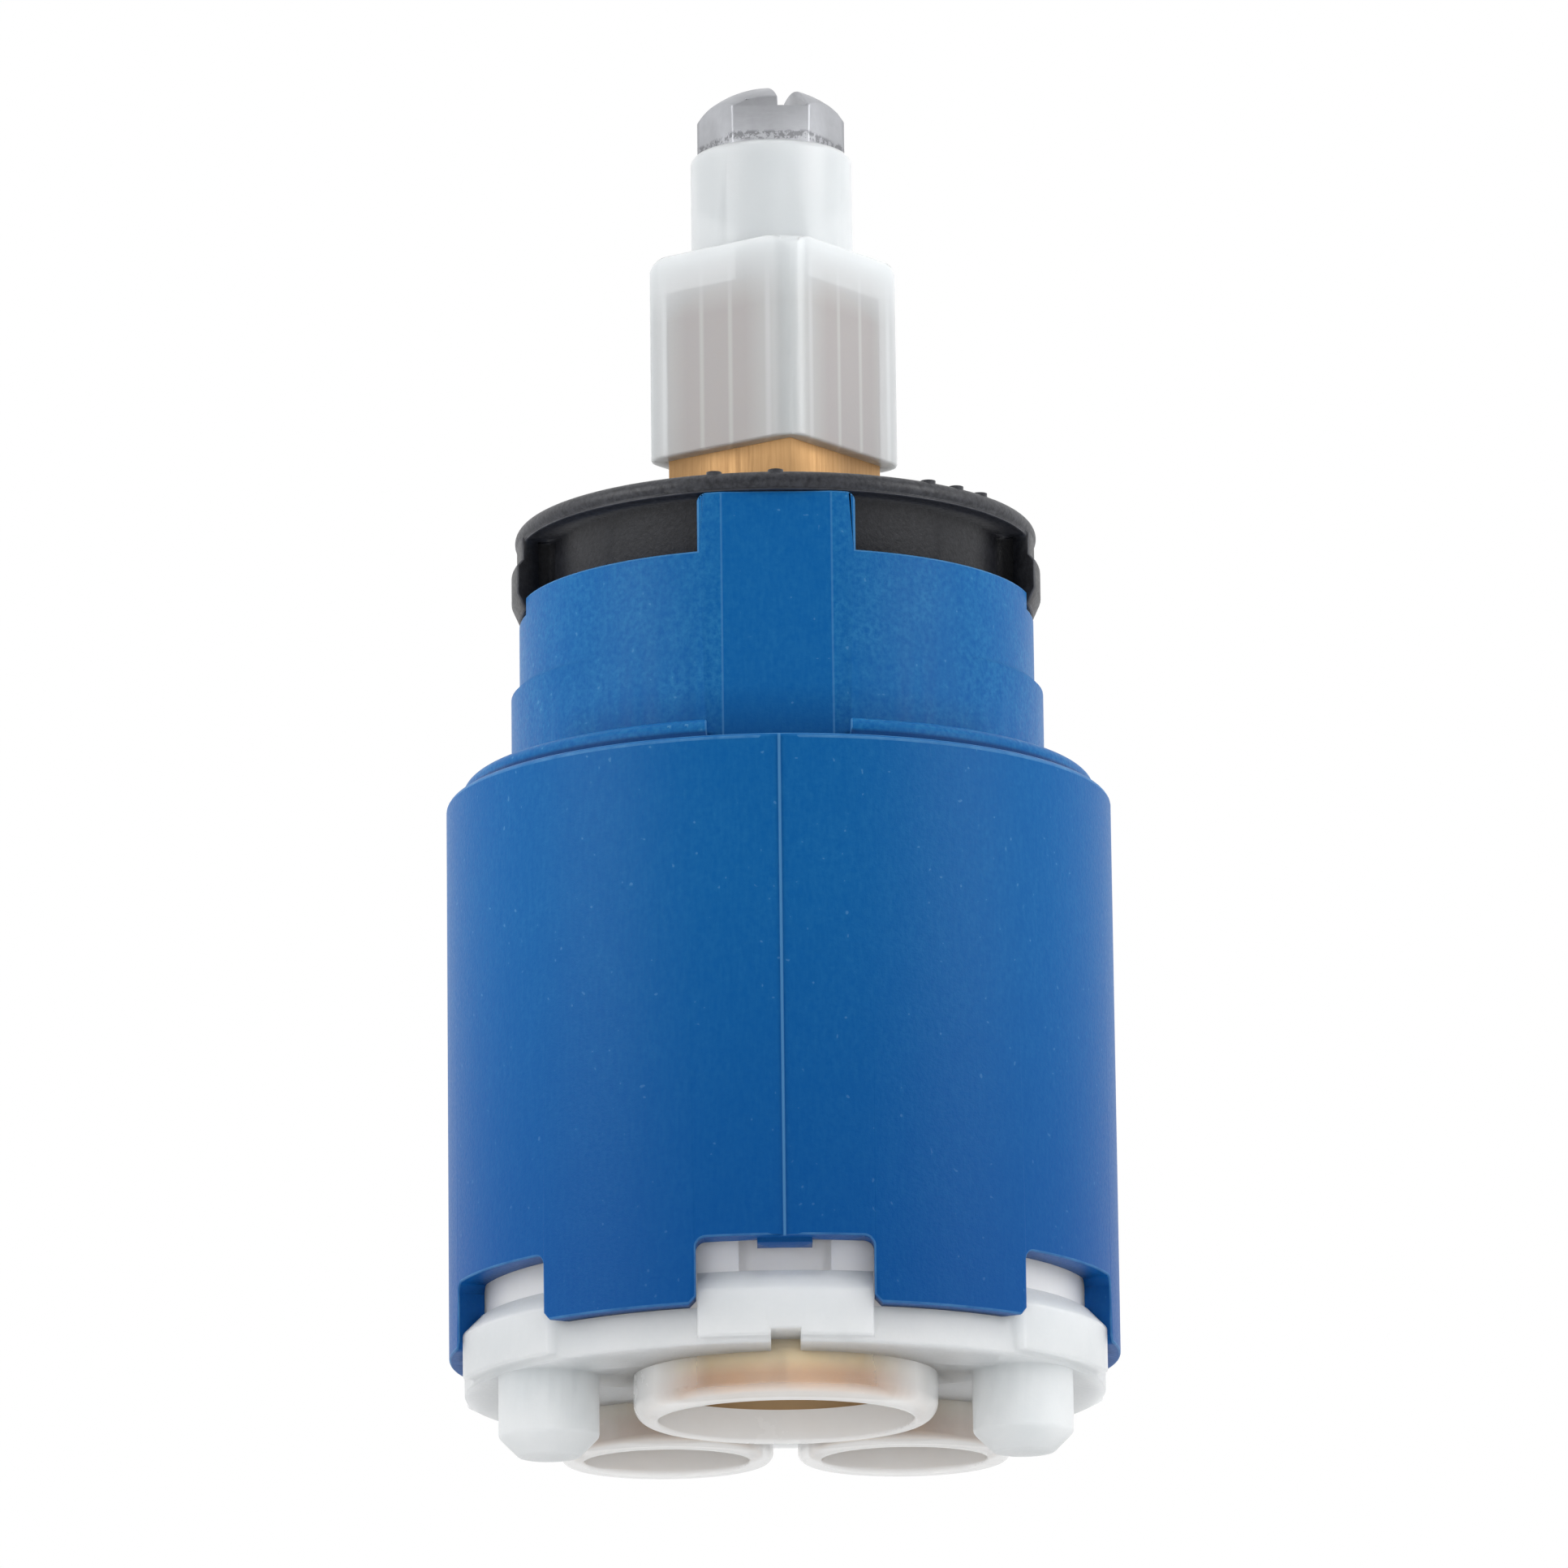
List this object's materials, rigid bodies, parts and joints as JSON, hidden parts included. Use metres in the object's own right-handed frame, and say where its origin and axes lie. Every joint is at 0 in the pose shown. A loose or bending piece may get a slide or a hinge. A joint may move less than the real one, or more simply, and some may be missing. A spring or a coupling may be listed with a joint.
{
  "type": "ceramic disc tap cartridge",
  "caption": "Single-lever mixer cartridge: stepped barrel with skirt lugs and ring-sealed ports, capped neck, and a sleeved square spindle that turns and tilts to work ceramic discs.",
  "frame": {"origin": "on the barrel's axis, in the plane of the base's underside, which seats on the floor of the tap body", "axes": "+Z along the barrel towards the spindle's tip; -Y towards the outlet port and the front key; +X to the right as seen from the front"},
  "size_m": [0.035, 0.0351, 0.0749],
  "materials": {
    "blue_plastic": "satin moulded",
    "black_plastic": "satin moulded",
    "natural_plastic": "natural moulded",
    "silicone": "translucent",
    "brass": "machined",
    "dark_rubber": "smooth",
    "disc_ceramic": "lapped",
    "glide_plastic": "smooth",
    "grey_plastic": "moulded",
    "pin_steel": "ground",
    "sleeve_plastic": "translucent natural",
    "screw_steel": "dull plated"
  },
  "bodies": {
    "valve_body": {"housing": "blue_plastic", "cap_ring": "black_plastic", "base": "natural_plastic", "outlet_seal": "silicone", "inlet_seal_left": "silicone", "inlet_seal_right": "silicone", "outlet_support_ring": "brass", "inlet_support_ring_left": "brass", "inlet_support_ring_right": "brass", "disc_seal_outlet": "dark_rubber", "disc_seal_left": "dark_rubber", "disc_seal_right": "dark_rubber", "fixed_disc": "disc_ceramic", "glide_ring": "glide_plastic"},
    "turning_core": {"rotor": "grey_plastic", "rotor_seal": "dark_rubber", "pivot_pin": "pin_steel"},
    "spindle_unit": {"lever_spindle": "brass", "spindle_sleeve": "sleeve_plastic", "spindle_screw": "screw_steel"},
    "sliding_unit": {"moving_disc": "disc_ceramic", "chamber_seal": "dark_rubber", "disc_carrier": "grey_plastic", "carrier_bush": "pin_steel"}
  },
  "joints": [
    {"name": "temperature_turn", "type": "hinge", "parent": "valve_body", "child": "turning_core", "pos_m": [0, 0, 0.0362], "axis": [0, 0, 1], "range_deg": [-53, 37]},
    {"name": "flow_tilt", "type": "hinge", "parent": "turning_core", "child": "spindle_unit", "pos_m": [0, 0, 0.0362], "axis": [0.9903, 0.1392, 0], "range_deg": [0, 20]},
    {"name": "disc_slide", "type": "slide", "parent": "turning_core", "child": "sliding_unit", "axis": [-0.1392, 0.9903, 0], "range_m": [0, 0.0032]}
  ],
  "couplings": [
    {"joint": "disc_slide", "follows": "flow_tilt", "m_per_rad": 0.0090143}
  ]
}
